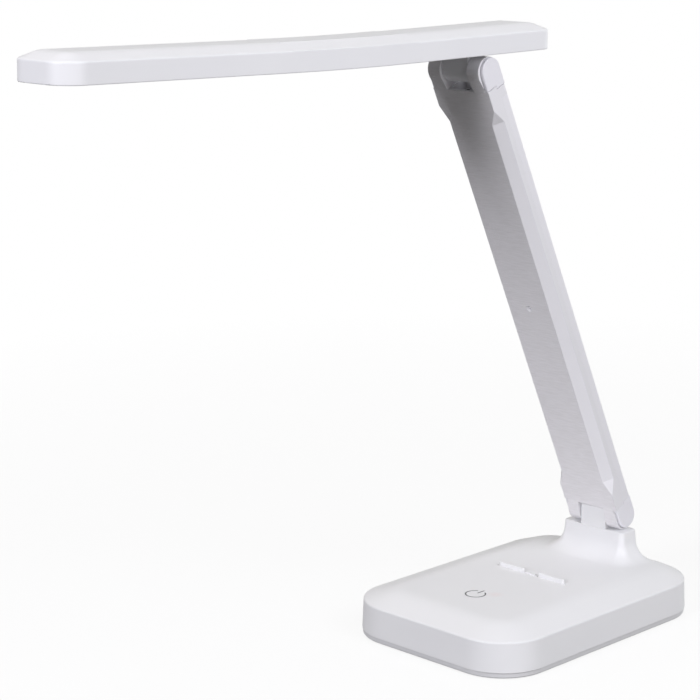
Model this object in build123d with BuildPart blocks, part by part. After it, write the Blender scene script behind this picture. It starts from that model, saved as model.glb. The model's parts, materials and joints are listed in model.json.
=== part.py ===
from build123d import *
import os
from math import acos, atan2, cos, radians, sin, sqrt, tan

os.makedirs("parts", exist_ok=True)

# A folding desk lamp on a rounded base. Millimetres. The origin is on the table under the
# middle of the base, +Z is up, the user sits at -Y and the pedestal stands at +Y.

# ---------------------------------------------------------------- driving dimensions
# base
base_width = 105.0
base_length = 150.0
base_corner = 25.0
mat_proud = 0.5             # the mat lifts the cover this far off the table
seam_z = 3.2                # joint line between bottom cover and wall
rim_z = 17.6                # upper edge of the wall
panel_z = 22.5              # flat top panel
panel_blend = 24.0          # radius between panel and slope
rim_draft = 0.6             # the wall leans in by this much
crown_margin = 15.0         # width of the slope between rim and panel
rear_margin = 9.6           # the same at the rear, where the slope is steeper
base_wall = 2.2
base_roof = 2.4
band_inset = 0.4            # the cover's band stands back from the wall

# pedestal and lower hinge
pedestal_width = 37.4
pedestal_depth = 11.9
pedestal_y = 56.8
pedestal_z = 36.7
pedestal_corner = 2.4
pedestal_taper = 5.5        # degrees, wider towards the foot
foot_blend = 10.5           # radius between pedestal and panel
hinge_y = 56.8
hinge_z = 43.8
knuckle_radius = 6.4        # round top of the tongue
tongue_flat = 5.6           # its flat front and back, from the hinge axis
tongue_half = 7.7

# arm
arm_lean = 25.0             # degrees forward of upright
arm_centres = 251.0         # between the two hinge axes
arm_width = 33.0
arm_front = 5.2             # front face, forward of the hinge axes
arm_rear = 6.7              # rear face, behind the hinge axes
arm_seam = 2.0              # joint between front and rear shells, behind the axes
ear_radius = 6.7
ear_gap_half = 8.0          # half the gap between two ears
cap_thickness = 1.4
lower_pocket = 7.2          # from the lower axis up to the floor of the fork
upper_pocket = 8.0
slot_depth = 4.8            # a slot sunk into the floor of the upper fork
slot_lip = 1.2              # the floor that is left in front of and behind it
window_front = 0.6          # window from that slot into the arm's hollow, behind the axes
mark_sphere = 2.1           # a ball of this radius leaves the round moulding mark
mark_depth = 0.95           # in the middle of the arm's face, this deep
mark_pin = 0.4              # radius of the small stub in it
mark_pin_rise = 0.55
chamfer_x = 3.75            # the long chamfer, measured on the front face
chamfer_m = 4.5             # and on the side
chamfer_start = 17.0        # where its run-out begins, from each axis
chamfer_full = 24.7         # where it reaches full depth

# head
head_width = 35.2
head_tip = 285.6            # front end, forward of the origin
head_tail = 5.8             # rear end, forward of the origin
head_wall = 8.8             # height of the side wall
head_margin = 8.0           # slope between side wall and top panel
head_crown = 3.2            # rise of that slope
panel_round = 12.0          # radius between slope and top panel
wall_round = 0.9            # radius between side wall and slope
low_round = 0.4
bend_y = -133.4             # the head is bent slightly here
bend_z = 277.89             # underside at the bend
front_rise = 1.25           # degrees, towards the tip
rear_rise = 0.60            # degrees, towards the tail
bend_radius = 2300.0
front_corner = 11.2
rear_corner = 9.4
head_shell = 2.0
head_ceiling = 8.4          # inside height of the housing
barrel_radius = 5.4
barrel_half = 7.6

# hinge hardware
bolt_radius = 2.0
running_gap = 0.05
bush_radius = 3.0
spring_washer = 0.8
nut_across_flats = 7.0
lead_radius = 0.9
lead_back = 3.2             # in each hinge the lead passes this far behind the axis
lead_slot_x = 2.6
lead_slot_y = 2.2

# ---------------------------------------------------------------- frames
arm_dir = Vector(0, -sin(radians(arm_lean)), cos(radians(arm_lean)))
rear_dir = Vector(0, cos(radians(arm_lean)), sin(radians(arm_lean)))
lower_axis = Vector(0, hinge_y, hinge_z)
upper_axis = lower_axis + arm_dir * arm_centres

# local x runs rearwards through the arm, local y runs up the arm, extrusion goes to +X
arm_side = Plane(origin=lower_axis, x_dir=rear_dir, z_dir=(1, 0, 0))
# local x is across the arm, local y runs up it, extrusion goes forwards
arm_face = Plane(origin=lower_axis, x_dir=(1, 0, 0), z_dir=rear_dir * -1)
# local x is across the arm, local y runs rearwards, extrusion goes up the arm
arm_across = Plane(origin=lower_axis, x_dir=(1, 0, 0), z_dir=arm_dir)

bend_angle = front_rise + rear_rise
bend_reach = bend_radius * tan(radians(bend_angle / 2))
bend_point = Vector(0, bend_y, bend_z)
front_along = Vector(0, cos(radians(front_rise)), -sin(radians(front_rise)))
front_up = Vector(0, sin(radians(front_rise)), cos(radians(front_rise)))
rear_along = Vector(0, cos(radians(rear_rise)), sin(radians(rear_rise)))
rear_up = Vector(0, -sin(radians(rear_rise)), cos(radians(rear_rise)))
bend_centre = bend_point - front_along * bend_reach + front_up * bend_radius
tip_station = (-head_tip - bend_y) / cos(radians(front_rise))
tail_station = (-head_tail - bend_y) / cos(radians(rear_rise))
hinge_station = (upper_axis.Y - bend_y) / cos(radians(rear_rise))


def run_plane(station, height=0.0):
    """Plane on the head's underside at a station counted from the bend, lifted by height."""
    if station <= -bend_reach:
        along, up = front_along, front_up
        foot = bend_point + along * station
    elif station >= bend_reach:
        along, up = rear_along, rear_up
        foot = bend_point + along * station
    else:
        turn = radians((station + bend_reach) / (2 * bend_reach) * bend_angle - front_rise)
        up = Vector(0, -sin(turn), cos(turn))
        foot = bend_centre - up * bend_radius
    return Plane(origin=foot + up * height, x_dir=(1, 0, 0), z_dir=up)


def run_point(station, height):
    """The same point as a pair (y, z) for side-view sketches."""
    origin = run_plane(station, height).origin
    return (origin.Y, origin.Z)


def head_strip(width, low, high, start, end, mode=Mode.ADD):
    """A strip that follows the head's bend, between two heights and two stations."""
    stations = [start]
    stations += [s for s in (-bend_reach, bend_reach) if start < s < end]
    stations += [end]
    with BuildSketch(Plane.YZ.offset(-width / 2)) as side:
        with BuildLine():
            for height in (low, high):
                for a, b in zip(stations, stations[1:]):
                    middle = (a + b) / 2
                    if abs(middle) < bend_reach:
                        ThreePointArc(
                            run_point(a, height),
                            run_point(middle, height),
                            run_point(b, height),
                        )
                    else:
                        Line(run_point(a, height), run_point(b, height))
            Line(run_point(start, low), run_point(start, high))
            Line(run_point(end, low), run_point(end, high))
        make_face()
    extrude(side.sketch, amount=width, mode=mode)


def rounded_slab(width, length, corner, z, thickness, centre=(0, 0), mode=Mode.ADD):
    """A flat rounded rectangle in plan, from z upwards."""
    with BuildSketch(Plane.XY.offset(z)) as plan:
        with Locations(centre):
            RectangleRounded(width, length, corner)
    extrude(plan.sketch, amount=thickness, mode=mode)


def crowned_block(inset, low_z, edge_z, top_z, behind, mode=Mode.ADD):
    """The base's outer form, or its hollow: drafted wall, then a slope up to a flat panel.
    The slope is crown_margin wide, and behind wide at the rear."""
    outlines = []
    for z, step, side, rear in (
        (low_z, inset, 0.0, 0.0),
        (edge_z, inset + rim_draft, 0.0, 0.0),
        (top_z, inset + rim_draft, crown_margin, behind),
    ):
        with BuildSketch(Plane.XY.offset(z)) as outline:
            with Locations((0, (side - rear) / 2)):
                RectangleRounded(
                    base_width - 2 * step - 2 * side,
                    base_length - 2 * step - side - rear,
                    base_corner - step - side,
                )
        outlines.append(outline.sketch)
    loft(outlines[:2], ruled=True, mode=mode)
    loft(outlines[1:], ruled=True, mode=mode)


def posts(places, radius, low_z, high_z, mode=Mode.ADD):
    """Upright round posts or holes at the given plan points."""
    with BuildSketch(Plane.XY.offset(low_z)) as rounds:
        with Locations(*places):
            Circle(radius)
    extrude(rounds.sketch, amount=high_z - low_z, mode=mode)


def cross_cylinder(centre, radius, low_x, high_x, mode=Mode.ADD):
    """A cylinder along X about a hinge axis."""
    with BuildSketch(Plane.YZ.offset(low_x)) as disc:
        with Locations((centre.Y, centre.Z)):
            Circle(radius)
    extrude(disc.sketch, amount=high_x - low_x, mode=mode)


def lead(points, bends):
    """A two-core lead along a route of straight runs and arcs."""
    with BuildLine() as route:
        FilletPolyline(*points, radius=bends)
    with BuildSketch(Plane(origin=route.line @ 0, z_dir=route.line % 0)) as section:
        Circle(lead_radius)
    sweep(section.sketch, path=route.line)


# ================================================================ BASE
boss_places = [(x, y) for x in (-36, 36) for y in (-56, 56)]
boss_radius = 3.2
boss_pilot = 1.25
board_y = -38.0
board_low = 15.1
board_thick = 1.6
board_top = board_low + board_thick
board_boss_places = [(x, board_y + y) for x in (-26, 26) for y in (-12, 12)]
board_boss_radius = 2.6
board_pilot = 0.9
board_hole = 1.1
ceiling_z = panel_z - base_roof
symbol_y = -36.6            # centre of the touch spot
socket_z = 9.0
charge_board_low = 5.77
charge_board_thick = 1.6
charge_post_places = [(x, 58.0) for x in (-8.5, 8.5)]
lead_y = hinge_y + lead_back
sunk = 0.5                  # added forms start this far below the panel
rib_front = 3.3             # front face of the phone stop
rib_depth = 1.7
rib_height = 2.2
rib_inner = 4.8             # half the notch in the middle
rib_outer = 20.2
rib_middle_y = rib_front + rib_depth / 2
web_half = 2.9
web_depth = 1.0
web_height = 0.8
pit_step = 0.9              # small round pits lie this far past each bar's ends
pit_radius = 0.6
pit_depth = 0.5
pedestal_hollow = (31.0, 6.0)
pedestal_hollow_z = 34.0
socket_width = 8.94
socket_height = 3.26
socket_wall = 0.3
socket_gap = 0.17

# Top shell: wall, crowned top, pedestal with the hinge tongue, phone stop and bosses.
with BuildPart() as base_top_shell:
    crowned_block(0.0, seam_z, rim_z, panel_z, rear_margin)
    panel_edge = base_top_shell.edges().filter_by(lambda e: abs(e.center().Z - panel_z) < 0.01)
    fillet(panel_edge, panel_blend)
    rim_edge = base_top_shell.edges().filter_by(lambda e: abs(e.center().Z - rim_z) < 0.01)
    fillet(rim_edge, 1.0)
    with BuildSketch(Plane.XY.offset(pedestal_z)):
        with Locations((0, pedestal_y)):
            RectangleRounded(pedestal_width, pedestal_depth, pedestal_corner)
    extrude(amount=rim_z - 1 - pedestal_z, taper=-pedestal_taper)
    foot_edge = base_top_shell.edges().filter_by(
        lambda e: rim_z + 0.5 < e.center().Z < panel_z + 1
        and abs(e.center().X) < 20
        and 48 < e.center().Y < 66
    )
    fillet(foot_edge, foot_blend)
    shoulder_edge = base_top_shell.edges().filter_by(
        lambda e: abs(e.center().Z - pedestal_z) < 0.01
    )
    fillet(shoulder_edge, 0.6)
    # tongue between the arm's ears, just behind the pedestal's front edge
    with BuildSketch(Plane.YZ.offset(-tongue_half)):
        with Locations((hinge_y, hinge_z)):
            Circle(knuckle_radius)
            Rectangle(2 * tongue_flat, 2 * knuckle_radius, mode=Mode.INTERSECT)
        with Locations((hinge_y, (hinge_z + pedestal_z - 1) / 2)):
            Rectangle(2 * tongue_flat, hinge_z - pedestal_z + 1)
    extrude(amount=2 * tongue_half)
    # two raised bars hold a phone, with a notch for its cable and a low web in the notch
    for side in (-1, 1):
        with BuildSketch(Plane.XY.offset(panel_z - sunk)):
            with Locations((side * (rib_inner + rib_outer) / 2, rib_middle_y)):
                RectangleRounded(rib_outer - rib_inner, rib_depth, 0.8)
        extrude(amount=rib_height + sunk)
    rib_top = base_top_shell.faces().filter_by(
        lambda f: abs(f.center().Z - panel_z - rib_height) < 0.01
    )
    fillet(rib_top.edges(), 0.35)
    with BuildSketch(Plane.XY.offset(panel_z - sunk)):
        with Locations((0, rib_front + web_depth / 2)):
            Rectangle(2 * web_half, web_depth)
    extrude(amount=web_height + sunk)
    pit_places = [
        (side * x, rib_middle_y) for side in (-1, 1) for x in (rib_inner - pit_step, rib_outer + pit_step)
    ]
    posts(pit_places, pit_radius, panel_z - pit_depth, panel_z + 1, mode=Mode.SUBTRACT)
    # hollow, open below
    crowned_block(
        base_wall,
        seam_z,
        rim_z - base_roof,
        ceiling_z,
        crown_margin,
        mode=Mode.SUBTRACT,
    )
    rounded_slab(
        *pedestal_hollow,
        1.0,
        ceiling_z - 1,
        pedestal_hollow_z - ceiling_z + 1,
        (0, pedestal_y),
        mode=Mode.SUBTRACT,
    )
    # hinge bore and the slot that brings the lead up behind the bolt
    cross_cylinder(lower_axis, bush_radius + running_gap, -10, 10, mode=Mode.SUBTRACT)
    with BuildSketch(Plane.XY.offset(ceiling_z - 1)):
        with Locations((0, lead_y)):
            Rectangle(lead_slot_x, lead_slot_y)
    extrude(amount=hinge_z + 8 - ceiling_z, mode=Mode.SUBTRACT)
    # screw bosses for the cover and for the control board
    posts(boss_places, boss_radius, seam_z, ceiling_z + 0.4)
    posts(board_boss_places, board_boss_radius, board_top, ceiling_z + 0.4)
    posts(boss_places, boss_pilot, seam_z, 14, mode=Mode.SUBTRACT)
    posts(board_boss_places, board_pilot, board_top, board_top + 3, mode=Mode.SUBTRACT)
    # window for the charging socket
    with BuildSketch(Plane.XZ.offset(-base_length / 2 - 1)):
        with Locations((0, socket_z)):
            SlotOverall(socket_width + 2 * socket_gap, socket_height + 2 * socket_gap)
    extrude(amount=6, mode=Mode.SUBTRACT)
base_top_shell.part.label = "base_top_shell"
export_step(base_top_shell.part, "parts/base_top_shell.step")

# Bottom cover: plate, set-back band, locating lip, screw holes and board posts.
mat_width = 90.0
mat_length = 134.0
mat_corner = 18.0
mat_thick = 1.0
mat_gap = 0.2
lip_inset = base_wall + 0.2
lip_thick = 1.6
lip_height = 1.6
screw_floor = mat_thick + 1.1       # the screw heads rest here
with BuildPart() as base_bottom_cover:
    rounded_slab(
        base_width - 2 * band_inset,
        base_length - 2 * band_inset,
        base_corner - band_inset,
        mat_proud,
        seam_z - mat_proud,
    )
    low_edge = base_bottom_cover.edges().filter_by(lambda e: abs(e.center().Z - mat_proud) < 0.01)
    fillet(low_edge, 0.8)
    for inset, mode in ((lip_inset, Mode.ADD), (lip_inset + lip_thick, Mode.SUBTRACT)):
        rounded_slab(
            base_width - 2 * inset,
            base_length - 2 * inset,
            base_corner - inset,
            seam_z,
            lip_height,
            mode=mode,
        )
    posts(charge_post_places, 2.5, seam_z, charge_board_low)
    rounded_slab(
        mat_width + 2 * mat_gap,
        mat_length + 2 * mat_gap,
        mat_corner + mat_gap,
        mat_proud,
        mat_thick - mat_proud,
        mode=Mode.SUBTRACT,
    )
    posts(boss_places, 1.6, mat_proud, seam_z, mode=Mode.SUBTRACT)
    posts(boss_places, 3.2, mat_proud, screw_floor, mode=Mode.SUBTRACT)
    posts(charge_post_places, board_pilot, seam_z, charge_board_low, mode=Mode.SUBTRACT)
base_bottom_cover.part.label = "base_bottom_cover"
export_step(base_bottom_cover.part, "parts/base_bottom_cover.step")

# Soft mat in the cover's recess; the lamp stands on it.
with BuildPart() as anti_slip_mat:
    rounded_slab(mat_width, mat_length, mat_corner, 0.0, mat_thick)
anti_slip_mat.part.label = "anti_slip_mat"
export_step(anti_slip_mat.part, "parts/anti_slip_mat.step")

# Steel plate that keeps the lamp from tipping forwards.
weight_thick = 3.5
with BuildPart() as counterweight:
    rounded_slab(84.0, 92.0, 5.0, seam_z, weight_thick, (0, -4))
counterweight.part.label = "counterweight"
export_step(counterweight.part, "parts/counterweight.step")

# Flat rechargeable pack on a pad of foam tape.
pack_y = 12.0
tape_thick = 0.7
tape_low = seam_z + weight_thick
pack_low = tape_low + tape_thick
pack_thick = 7.5
with BuildPart() as battery_tape:
    rounded_slab(50.0, 30.0, 1.0, tape_low, tape_thick, (0, pack_y))
battery_tape.part.label = "battery_tape"
export_step(battery_tape.part, "parts/battery_tape.step")

with BuildPart() as battery:
    rounded_slab(62.0, 38.0, 3.0, pack_low, pack_thick, (0, pack_y))
    fillet(battery.edges().filter_by(Plane.XY), 1.5)
battery.part.label = "battery"
export_step(battery.part, "parts/battery.step")

# Control board under the touch spot, with its components below and the sensing contact above.
with BuildPart() as control_board:
    rounded_slab(60.0, 34.0, 2.0, board_low, board_thick, (0, board_y))
    posts(board_boss_places, board_hole, board_low, board_top, mode=Mode.SUBTRACT)
control_board.part.label = "control_board"
export_step(control_board.part, "parts/control_board.step")

with BuildPart() as board_parts:
    # rows: x, y, width, length, height below the board
    for x, y, width, length, height in (
        (0.0, -40.0, 6.0, 5.0, 1.6),
        (-14.0, -44.0, 5.0, 5.0, 3.0),
        (13.0, -45.0, 4.0, 6.5, 1.8),
        (6.0, -23.6, 8.0, 5.2, 3.4),
        (-12.0, -24.0, 6.0, 4.6, 3.4),
    ):
        rounded_slab(width, length, 0.4, board_low - height, height, (x, y))
board_parts.part.label = "board_parts"
export_step(board_parts.part, "parts/board_parts.step")

electrode_thick = 0.4
with BuildPart() as touch_electrode:
    posts([(0, symbol_y)], 9.0, ceiling_z - electrode_thick, ceiling_z)
touch_electrode.part.label = "touch_electrode"
export_step(touch_electrode.part, "parts/touch_electrode.step")

with BuildPart() as touch_spring:
    posts([(0, symbol_y)], 2.5, board_top, ceiling_z - electrode_thick)
    posts([(0, symbol_y)], 1.9, board_top, ceiling_z - electrode_thick, mode=Mode.SUBTRACT)
touch_spring.part.label = "touch_spring"
export_step(touch_spring.part, "parts/touch_spring.step")

# Charging board and its socket at the rear wall.
charge_board_top = charge_board_low + charge_board_thick
with BuildPart() as charge_board:
    rounded_slab(24.0, 18.0, 0.8, charge_board_low, charge_board_thick, (0, 62.0))
    posts(charge_post_places, board_hole, charge_board_low, charge_board_top, mode=Mode.SUBTRACT)
charge_board.part.label = "charge_board"
export_step(charge_board.part, "parts/charge_board.step")

socket_mouth = base_length / 2 - 0.6
with BuildPart() as charge_socket:
    socket_plane = Plane.XZ.offset(-socket_mouth)
    with BuildSketch(socket_plane):
        with Locations((0, socket_z)):
            SlotOverall(socket_width, socket_height)
    extrude(amount=7.3)
    with BuildSketch(socket_plane):
        with Locations((0, socket_z)):
            SlotOverall(socket_width - 2 * socket_wall, socket_height - 2 * socket_wall)
    extrude(amount=6.3, mode=Mode.SUBTRACT)
    with BuildSketch(socket_plane.offset(1.0)):
        with Locations((0, socket_z)):
            Rectangle(6.7, 0.7)
    extrude(amount=5.8)
charge_socket.part.label = "charge_socket"
export_step(charge_socket.part, "parts/charge_socket.step")

# Screws of the cover and of the two boards.
with BuildPart() as base_screws:
    posts(boss_places, 2.9, screw_floor - 1.0, screw_floor)
    posts(boss_places, boss_pilot - 0.05, screw_floor, 13)
base_screws.part.label = "base_screws"
export_step(base_screws.part, "parts/base_screws.step")

with BuildPart() as board_screws:
    posts(board_boss_places, 1.8, board_low - 1.0, board_low)
    posts(board_boss_places, board_pilot - 0.05, board_low, board_top + 2.5)
    posts(charge_post_places, 1.8, charge_board_top, charge_board_top + 1.0)
    posts(charge_post_places, board_pilot - 0.05, seam_z + 0.3, charge_board_top)
board_screws.part.label = "board_screws"
export_step(board_screws.part, "parts/board_screws.step")

# Leads inside the base: to the arm, and from the battery to the board.
with BuildPart() as base_lead:
    lead(
        [
            (6, -21.0, 13.4),
            (6, -15.0, 13.4),
            (6, -8.0, 17.2),
            (6, 36.0, 17.2),
            (0, lead_y, 19.0),
            (0, lead_y, hinge_z + 2.6),
        ],
        [5, 6, 12, 3],
    )
base_lead.part.label = "base_lead"
export_step(base_lead.part, "parts/base_lead.step")

with BuildPart() as battery_lead:
    lead([(-12, -21.7, 13.0), (-12, -14.5, 13.0), (-12, -14.5, 10.4), (-12, -7.0, 10.4)], [1.6, 1.2])
battery_lead.part.label = "battery_lead"
export_step(battery_lead.part, "parts/battery_lead.step")

# ================================================================ HINGE HARDWARE
seat_x = 11.5               # floor of the recess for head and nut in each ear
cap_plane_x = arm_width / 2 - cap_thickness
bush_inner_x = 1.8          # the bush is in two halves, with the lead between them
bolt_head_radius = 3.8
bolt_head_x = cap_plane_x - 0.7
nut_end_x = cap_plane_x - 0.5
disc_radius = 4.4


def hinge_bush(axis, half_width):
    """Steel sleeve in two halves, pressed into a tongue or a barrel."""
    for low_x in (-half_width, bush_inner_x):
        cross_cylinder(axis, bush_radius, low_x, low_x + half_width - bush_inner_x)
    cross_cylinder(
        axis, bolt_radius + running_gap, -half_width, half_width, mode=Mode.SUBTRACT
    )


def hinge_bolt(axis):
    """Bolt with a low round head on the right-hand side."""
    cross_cylinder(axis, bolt_radius, -cap_plane_x + 0.3, seat_x)
    cross_cylinder(axis, bolt_head_radius, seat_x, bolt_head_x)
    head_rim = edges().filter_by(lambda e: abs(e.center().X - bolt_head_x) < 0.01)
    fillet(head_rim, 0.9)


def hinge_nut(axis):
    """Thin hexagon nut on the left-hand side."""
    with BuildSketch(Plane.YZ.offset(-nut_end_x)) as hexagon:
        with Locations((axis.Y, axis.Z)):
            RegularPolygon(nut_across_flats / 2, 6, major_radius=False)
            Circle(bolt_radius + 0.02, mode=Mode.SUBTRACT)
    extrude(hexagon.sketch, amount=nut_end_x - seat_x - spring_washer)


def hinge_washers(axis, half_width):
    """Two thin friction discs beside the tongue or barrel, and a spring washer under the nut."""
    gap = ear_gap_half - half_width
    for low_x in (-ear_gap_half + running_gap, half_width + running_gap):
        cross_cylinder(axis, disc_radius, low_x, low_x + gap - 2 * running_gap)
    cross_cylinder(axis, 3.6, -seat_x - spring_washer, -seat_x)
    cross_cylinder(axis, bolt_radius + running_gap, -14, 9, mode=Mode.SUBTRACT)


with BuildPart() as lower_hinge_bush:
    hinge_bush(lower_axis, tongue_half)
lower_hinge_bush.part.label = "lower_hinge_bush"
export_step(lower_hinge_bush.part, "parts/lower_hinge_bush.step")

with BuildPart() as lower_hinge_bolt:
    hinge_bolt(lower_axis)
lower_hinge_bolt.part.label = "lower_hinge_bolt"
export_step(lower_hinge_bolt.part, "parts/lower_hinge_bolt.step")

with BuildPart() as lower_hinge_nut:
    hinge_nut(lower_axis)
lower_hinge_nut.part.label = "lower_hinge_nut"
export_step(lower_hinge_nut.part, "parts/lower_hinge_nut.step")

with BuildPart() as lower_hinge_washers:
    hinge_washers(lower_axis, tongue_half)
lower_hinge_washers.part.label = "lower_hinge_washers"
export_step(lower_hinge_washers.part, "parts/lower_hinge_washers.step")

with BuildPart() as upper_hinge_bush:
    hinge_bush(upper_axis, barrel_half)
upper_hinge_bush.part.label = "upper_hinge_bush"
export_step(upper_hinge_bush.part, "parts/upper_hinge_bush.step")

with BuildPart() as upper_hinge_bolt:
    hinge_bolt(upper_axis)
upper_hinge_bolt.part.label = "upper_hinge_bolt"
export_step(upper_hinge_bolt.part, "parts/upper_hinge_bolt.step")

with BuildPart() as upper_hinge_nut:
    hinge_nut(upper_axis)
upper_hinge_nut.part.label = "upper_hinge_nut"
export_step(upper_hinge_nut.part, "parts/upper_hinge_nut.step")

with BuildPart() as upper_hinge_washers:
    hinge_washers(upper_axis, barrel_half)
upper_hinge_washers.part.label = "upper_hinge_washers"
export_step(upper_hinge_washers.part, "parts/upper_hinge_washers.step")

# ================================================================ ARM
cap_seam_front = 7.6        # the caps end here in front, counted from each axis
cap_seam_rear = 9.1
blend_end = 8.2             # the ear's bulge runs out on the front face here
shell_end = 14.0            # the rear shell starts here, counted from each axis
cavity_end = 18.0
cavity_half = 14.6
front_wall = 1.9
ear_recess = 4.4            # radius of the recess for head or nut
crease_width = 0.35         # a fine channel runs round the nose of each cap
crease_depth = 0.6
lead_m = 0.9                # the lead lies this far behind the axes in the arm
lead_hole = 1.15
peg_radius = 1.5
peg_length = 4.0

slot_half = ear_gap_half - 0.8
upper_floor = arm_centres - upper_pocket

# The ear's round nose and the end of its bulge are joined by a tangent line.
blend_distance = sqrt(arm_front**2 + blend_end**2)
blend_turn = atan2(blend_end, -arm_front) + acos(ear_radius / blend_distance)
tangent_m = ear_radius * cos(blend_turn)
tangent_s = ear_radius * sin(blend_turn)
arm_middle = (arm_rear - arm_front) / 2
nose_radius = (arm_front + arm_rear) / 2


def arm_box(low_m, high_m, low_s, high_s, low_x, high_x, mode=Mode.SUBTRACT):
    """A box in the arm's own directions."""
    with BuildSketch(arm_side.offset(low_x)) as side:
        with Locations(((low_m + high_m) / 2, (low_s + high_s) / 2)):
            Rectangle(high_m - low_m, high_s - low_s)
    extrude(side.sketch, amount=high_x - low_x, mode=mode)


# The whole bar, before it is divided into front and rear shells.
with BuildPart() as arm_bar:
    with BuildSketch(arm_side.offset(-arm_width / 2)):
        with Locations((arm_middle, arm_centres / 2)):
            Rectangle(arm_front + arm_rear, arm_centres)
        with Locations((0, 0), (0, arm_centres)):
            Circle(ear_radius)
        for end, way in ((0, 1), (arm_centres, -1)):
            with BuildLine():
                Polyline(
                    (0, end),
                    (tangent_m, end + way * tangent_s),
                    (-arm_front, end + way * blend_end),
                    (0, end + way * blend_end),
                    close=True,
                )
            make_face()
    extrude(amount=arm_width)
    # long stopped chamfers on both front edges
    chamfer_slant = sqrt(chamfer_x**2 + chamfer_m**2)
    chamfer_depth = chamfer_x * chamfer_m / chamfer_slant
    for side in (-1, 1):
        corner = lower_axis + Vector(side * arm_width / 2, 0, 0) - rear_dir * arm_front
        inward = (Vector(-side * chamfer_m, 0, 0) + rear_dir * chamfer_x).normalized()
        along_face = inward.cross(arm_dir)
        chamfer_plane = Plane(origin=corner, x_dir=inward, z_dir=along_face)
        up = 1 if chamfer_plane.y_dir.dot(arm_dir) > 0 else -1
        with BuildSketch(chamfer_plane.offset(-20)):
            with BuildLine():
                Polyline(
                    (0, up * chamfer_start),
                    (chamfer_depth, up * chamfer_full),
                    (chamfer_depth, up * (arm_centres - chamfer_full)),
                    (0, up * (arm_centres - chamfer_start)),
                    (-8, up * (arm_centres - chamfer_start)),
                    (-8, up * chamfer_start),
                    close=True,
                )
            make_face()
        extrude(amount=40, mode=Mode.SUBTRACT)
    # seats of the four side caps
    for low_x in (-arm_width / 2 - 1, cap_plane_x):
        for end, way in ((0, 1), (arm_centres, -1)):
            for low_m, high_m, seam in (
                (-10, arm_middle, cap_seam_front),
                (arm_middle, 10, cap_seam_rear),
            ):
                low_s, high_s = sorted((end - way * 10, end + way * seam))
                arm_box(low_m, high_m, low_s, high_s, low_x, low_x + cap_thickness + 1)
    # soft rear edges between the caps
    rear_edges = arm_bar.edges().filter_by(Axis(lower_axis, arm_dir)).filter_by(
        lambda e: e.length > 200
        and abs(e.center().X) > arm_width / 2 - 0.1
        and (e.center() - lower_axis).dot(rear_dir) > arm_rear - 0.1
    )
    fillet(rear_edges, cap_thickness - 0.1)
    # forks for the tongue and the barrel
    arm_box(-10, 10, -10, lower_pocket, -ear_gap_half, ear_gap_half)
    arm_box(-10, 10, upper_floor, arm_centres + 10, -ear_gap_half, ear_gap_half)
    arm_box(
        slot_lip - arm_front,
        arm_rear - slot_lip,
        upper_floor - slot_depth,
        upper_floor,
        -slot_half,
        slot_half,
    )
    # window from the slot down into the arm's hollow
    arm_box(
        window_front,
        arm_rear - front_wall,
        arm_centres - cavity_end - 1.0,
        upper_floor - slot_depth + 0.5,
        1.0 - slot_half,
        slot_half - 1.0,
    )
    # fine channels round the front half of each cap's nose
    for low_x in (-cap_plane_x, cap_plane_x - crease_depth):
        for end, way in ((0, 1), (arm_centres, -1)):
            with BuildSketch(arm_side.offset(low_x)):
                for outer, mode in ((nose_radius + crease_width, Mode.ADD), (nose_radius, Mode.SUBTRACT)):
                    with Locations((arm_middle, end)):
                        Circle(outer, mode=mode)
                    with Locations((arm_middle - outer / 2, end + way * cap_seam_front / 2)):
                        Rectangle(outer, cap_seam_front, mode=mode)
                with Locations((arm_middle + 10, end)):
                    Rectangle(20, 40, mode=Mode.SUBTRACT)
            extrude(amount=crease_depth, mode=Mode.SUBTRACT)

peg_places = [(x, s) for x in (-9, 9) for s in (48, arm_centres / 2, arm_centres - 48)]

# Front shell: textured face, chamfers, both forks with their ears.
with BuildPart() as arm_front_shell:
    add(arm_bar.part)
    arm_box(arm_seam, 12, shell_end, arm_centres - shell_end, -20, 20)
    with BuildSketch(arm_across.offset(cavity_end)):
        with BuildLine():
            Polyline(
                (-cavity_half, arm_seam + 1),
                (-cavity_half, 0.7),
                (-11.3, -arm_front + front_wall),
                (11.3, -arm_front + front_wall),
                (cavity_half, 0.7),
                (cavity_half, arm_seam + 1),
                close=True,
            )
        make_face()
    extrude(amount=arm_centres - 2 * cavity_end, mode=Mode.SUBTRACT)
    # sockets for the rear shell's pegs
    with BuildSketch(arm_face.offset(-arm_seam)):
        with Locations(*peg_places):
            Circle(3.0)
    extrude(amount=arm_front + arm_seam - 0.5)
    with BuildSketch(arm_face.offset(-arm_seam)):
        with Locations(*peg_places):
            Circle(peg_radius + 0.1)
    extrude(amount=peg_length + 0.4, mode=Mode.SUBTRACT)
    # bores for the bolts, recesses for their heads and nuts
    for axis in (lower_axis, upper_axis):
        cross_cylinder(axis, bolt_radius + running_gap, -20, 20, mode=Mode.SUBTRACT)
        for low_x in (-20, seat_x):
            cross_cylinder(axis, ear_recess, low_x, low_x + 20 - seat_x, mode=Mode.SUBTRACT)
    # ways for the lead from each fork into the hollow
    with BuildSketch(arm_across):
        with Locations((0, lead_m)):
            Circle(lead_hole)
    extrude(amount=arm_centres, mode=Mode.SUBTRACT)
    # shallow round moulding mark in the middle of the face
    with Locations(arm_face.offset(arm_front + mark_sphere - mark_depth)):
        with Locations((0, arm_centres / 2, 0)):
            Sphere(mark_sphere, mode=Mode.SUBTRACT)
    with BuildSketch(arm_face.offset(arm_front - mark_depth - 0.2)):
        with Locations((0, arm_centres / 2)):
            Circle(mark_pin)
    extrude(amount=mark_pin_rise + 0.2)
arm_front_shell.part.label = "arm_front_shell"
export_step(arm_front_shell.part, "parts/arm_front_shell.step")

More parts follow.
